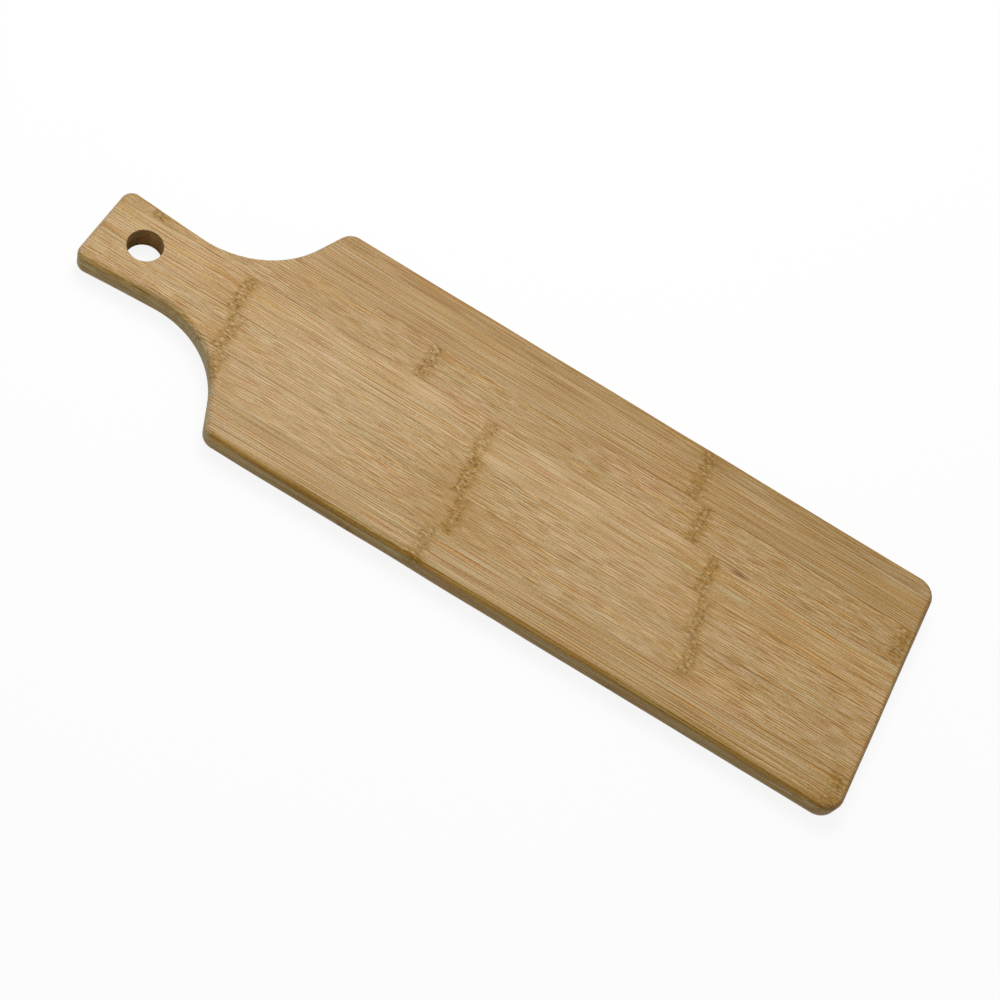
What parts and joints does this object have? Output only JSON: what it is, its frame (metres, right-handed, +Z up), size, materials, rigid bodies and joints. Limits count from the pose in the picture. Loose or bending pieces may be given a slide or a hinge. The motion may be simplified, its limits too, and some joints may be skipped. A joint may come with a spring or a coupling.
{
  "type": "serving board",
  "caption": "Paddle-shaped serving board laminated from bamboo strips in two plies, with a tapered handle, swept shoulders, rounded edges and a hanging hole.",
  "frame": {"origin": "centre of the board's bounding box, on the underside it lies on", "axes": "+X along the board from the handle to the body's far end, +Y across it, +Z up out of the serving face"},
  "size_m": [0.4, 0.125, 0.012],
  "materials": {
    "face_bamboo": "satin oiled bamboo, fibres along the board, with darker node bands",
    "back_bamboo": "satin oiled bamboo, fibres along the board, with darker node bands"
  },
  "bodies": {
    "root": {"face_strip_01": "face_bamboo", "face_strip_02": "face_bamboo", "face_strip_03": "face_bamboo", "face_strip_04": "face_bamboo", "face_strip_05": "face_bamboo", "face_strip_06": "face_bamboo", "face_strip_07": "face_bamboo", "back_strip_01": "back_bamboo", "back_strip_02": "back_bamboo", "back_strip_03": "back_bamboo", "back_strip_04": "back_bamboo", "back_strip_05": "back_bamboo", "back_strip_06": "back_bamboo", "back_strip_07": "back_bamboo"}
  },
  "joints": []
}
